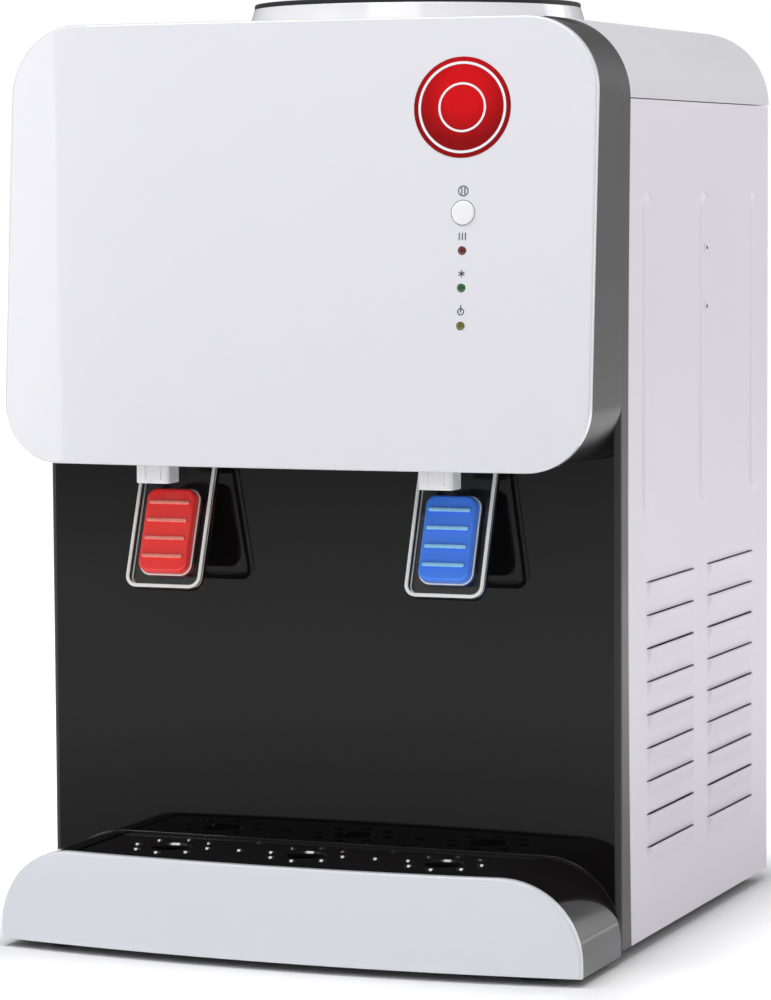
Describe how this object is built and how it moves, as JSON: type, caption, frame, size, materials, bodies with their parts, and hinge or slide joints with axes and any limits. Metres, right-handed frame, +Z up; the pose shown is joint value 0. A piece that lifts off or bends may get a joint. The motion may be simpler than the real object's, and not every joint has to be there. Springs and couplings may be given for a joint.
{
  "type": "countertop water dispenser",
  "caption": "Countertop hot and cold water dispenser with a bottle collar on top, a bowed control head, push-back tap levers and a lift-out drip tray.",
  "frame": {"origin": "centre of the footprint, on the surface that it stands on", "axes": "+X to the right seen from the front, +Y to the rear, +Z up"},
  "size_m": [0.3044, 0.332, 0.4638],
  "materials": {
    "white_fascia": "high gloss",
    "white_button": "satin",
    "white_cover": "fine matt",
    "panel_paint": "satin powder coat",
    "black_gloss": "high gloss",
    "black_grille": "gloss",
    "black_rubber": "matt",
    "inner_plastic": "matt",
    "seat_plastic": "satin",
    "tap_white": "satin",
    "clear_lever": "clear",
    "red_pad": "satin",
    "blue_pad": "satin",
    "red_lens": "clear tinted",
    "green_lens": "clear tinted",
    "amber_lens": "clear tinted",
    "board": "solder mask",
    "steel": "bright",
    "tank_steel": "brushed",
    "foam": "closed cell foam",
    "silicone": "translucent",
    "alloy": "extruded",
    "module_ceramic": "matt",
    "black_fitting": "matt",
    "heating_switch": "gloss",
    "cooling_switch": "gloss"
  },
  "bodies": {
    "case": {"control_fascia": "white_fascia", "tray_fascia": "white_fascia", "top_cover": "white_cover", "bottle_collar": "white_cover", "side_panel_left": "panel_paint", "side_panel_right": "panel_paint", "rear_panel": "panel_paint", "front_frame": "black_gloss", "head_shell": "black_gloss", "tray_base": "black_gloss", "feet": "black_rubber", "collar_seal": "black_rubber", "base_plate": "inner_plastic", "tank_shelf": "inner_plastic", "fan_frame": "inner_plastic", "power_supply": "inner_plastic", "bottle_seat": "seat_plastic", "feed_probe": "seat_plastic", "hot_tap_body": "tap_white", "cold_tap_body": "tap_white", "tap_nuts": "tap_white", "heating_lens": "red_lens", "cooling_lens": "green_lens", "power_lens": "amber_lens", "control_board": "board", "case_screws": "steel", "hinge_pins": "steel", "valve_springs": "steel", "button_spring": "steel", "hot_tank_stand": "steel", "cold_tank": "tank_steel", "hot_tank": "tank_steel", "heater_band": "tank_steel", "cold_jacket": "foam", "hot_jacket": "foam", "feed_hose": "silicone", "hot_hose": "silicone", "cold_hose": "silicone", "drain_hose": "silicone", "cooling_block": "alloy", "heat_sink": "alloy", "cooling_module": "module_ceramic", "thermostats": "module_ceramic", "cord_gland": "black_fitting", "heating_switch_holder": "black_fitting", "cooling_switch_holder": "black_fitting", "drain_fitting": "black_fitting", "drain_cap": "black_fitting"},
    "hot_lever": {"hot_lever": "clear_lever", "hot_pad": "red_pad"},
    "cold_lever": {"cold_lever": "clear_lever", "cold_pad": "blue_pad"},
    "hot_valve_stem": {"hot_valve_stem": "silicone"},
    "cold_valve_stem": {"cold_valve_stem": "silicone"},
    "reheat_button": {"reheat_button": "white_button"},
    "drip_tray": {"drip_tray": "black_grille"},
    "drip_grille": {"drip_grille": "black_grille"},
    "fan_rotor": {"fan_rotor": "inner_plastic"},
    "heating_rocker": {"heating_rocker": "heating_switch"},
    "cooling_rocker": {"cooling_rocker": "cooling_switch"}
  },
  "joints": [
    {"name": "hot_lever_press", "type": "hinge", "parent": "case", "child": "hot_lever", "pos_m": [-0.0731, -0.11845, 0.252], "axis": [1, 0, 0], "range_deg": [0, 14], "stiffness_Nm_per_rad": 0.2, "springref_deg": -17.19},
    {"name": "hot_valve_lift", "type": "slide", "parent": "case", "child": "hot_valve_stem", "axis": [0, 0, 1], "range_m": [0, 0.0032]},
    {"name": "cold_lever_press", "type": "hinge", "parent": "case", "child": "cold_lever", "pos_m": [0.0731, -0.11845, 0.252], "axis": [1, 0, 0], "range_deg": [0, 14], "stiffness_Nm_per_rad": 0.2, "springref_deg": -17.19},
    {"name": "cold_valve_lift", "type": "slide", "parent": "case", "child": "cold_valve_stem", "axis": [0, 0, 1], "range_m": [0, 0.0032]},
    {"name": "reheat_press", "type": "slide", "parent": "case", "child": "reheat_button", "axis": [0, 0.997, -0.0774], "range_m": [0, 0.0015], "stiffness_N_per_m": 300, "springref_m": -0.002},
    {"name": "drip_tray_lift", "type": "slide", "parent": "case", "child": "drip_tray", "axis": [0, 0, 1], "range_m": [0, 0.05]},
    {"name": "drip_grille_lift", "type": "slide", "parent": "drip_tray", "child": "drip_grille", "axis": [0, 0, 1], "range_m": [0, 0.05]},
    {"name": "fan_spin", "type": "hinge", "parent": "case", "child": "fan_rotor", "pos_m": [0, 0.13595, 0.303], "axis": [0, 1, 0], "continuous": true},
    {"name": "heating_rocker_tilt", "type": "hinge", "parent": "case", "child": "heating_rocker", "pos_m": [0.09, 0.14935, 0.15], "axis": [1, 0, 0], "range_deg": [-12, 12]},
    {"name": "cooling_rocker_tilt", "type": "hinge", "parent": "case", "child": "cooling_rocker", "pos_m": [0.09, 0.14935, 0.118], "axis": [1, 0, 0], "range_deg": [-12, 12]}
  ],
  "couplings": [
    {"joint": "hot_valve_lift", "follows": "hot_lever_press", "m_per_rad": 0.0128},
    {"joint": "cold_valve_lift", "follows": "cold_lever_press", "m_per_rad": 0.0128}
  ]
}
